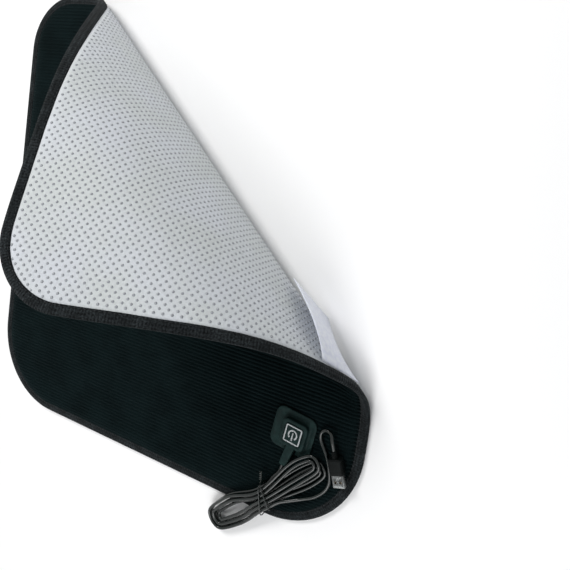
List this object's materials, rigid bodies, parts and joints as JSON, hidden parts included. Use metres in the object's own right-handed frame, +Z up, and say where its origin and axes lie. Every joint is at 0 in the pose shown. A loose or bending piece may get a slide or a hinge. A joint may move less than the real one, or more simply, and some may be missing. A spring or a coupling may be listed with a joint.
{
  "type": "heating mat",
  "caption": "Square electric heating mat of ribbed plush with an anti-slip underside, one corner folded over, a silicone power button and a tied USB cord.",
  "frame": {"origin": "centre of the flat mat's footprint on the floor, without the cord", "axes": "+Z up from the floor; +X towards the mat's right edge, the one beside the power button; +Y towards the back edge, away from the cord"},
  "size_m": [0.5, 0.5379, 0.1793],
  "materials": {
    "silver_anti_slip_fabric": "woven anti-slip fabric with small rubber dots",
    "black_ribbed_plush": "deep pile with fine ribs",
    "charcoal_woven_tape": "woven polyester tape",
    "aluminised_felt": "aluminised needle felt",
    "white_felt": "needle felt",
    "polyester_wadding": "soft wadding",
    "red_wire_insulation": "smooth wire insulation",
    "white_satin_ribbon": "satin ribbon",
    "black_silicone": "moulded silicone",
    "black_vinyl": "smooth vinyl",
    "grey_white_light_guide": "frosted light guide",
    "green_circuit_board": "solder mask",
    "black_epoxy": "moulded epoxy",
    "nickel_plated_steel": "nickel plated",
    "tinned_copper": "tinned, stands in for copper",
    "gold_plated_contacts": "gold plated",
    "white_ceramic": "smooth white",
    "clear_led_epoxy": "clear epoxy"
  },
  "bodies": {
    "mat": {"anti_slip_cover": "silver_anti_slip_fabric", "reflector_felt": "aluminised_felt", "carrier_felt": "white_felt", "heating_wire": "red_wire_insulation", "wadding_layer": "polyester_wadding", "plush_cover": "black_ribbed_plush", "edge_tape": "charcoal_woven_tape", "care_label": "white_satin_ribbon", "lead_wire_red": "red_wire_insulation", "lead_wire_black": "black_vinyl", "thermal_cutoff": "white_ceramic", "cutoff_wire": "black_vinyl", "crimp_sleeve_black": "tinned_copper", "crimp_sleeve_red": "tinned_copper", "button_housing": "black_silicone", "bottom_tray": "black_vinyl", "circuit_board": "green_circuit_board", "control_chip": "black_epoxy", "power_transistor": "black_epoxy", "push_switch_body": "nickel_plated_steel", "status_light_1": "clear_led_epoxy", "status_light_2": "clear_led_epoxy", "status_light_3": "clear_led_epoxy", "cord_sleeve": "black_silicone", "supply_wire_red": "red_wire_insulation", "supply_wire_black": "black_vinyl", "cord_lead": "black_vinyl", "cord_hank": "black_vinyl", "cord_tail": "black_vinyl", "wire_tie": "black_vinyl", "plug_body": "black_vinyl", "plug_neck": "black_vinyl", "plug_shell": "nickel_plated_steel", "plug_tongue": "white_ceramic", "plug_contact_1": "gold_plated_contacts", "plug_contact_2": "gold_plated_contacts", "plug_contact_3": "gold_plated_contacts", "plug_contact_4": "gold_plated_contacts"},
    "button": {"power_button": "black_silicone", "light_frame": "grey_white_light_guide", "power_symbol_ring": "grey_white_light_guide", "power_symbol_bar": "grey_white_light_guide", "push_switch_plunger": "black_epoxy"}
  },
  "joints": [
    {"name": "power_button_press", "type": "slide", "parent": "mat", "child": "button", "axis": [0, 0, -1], "range_m": [0, 0.0005], "stiffness_N_per_m": 3000}
  ]
}
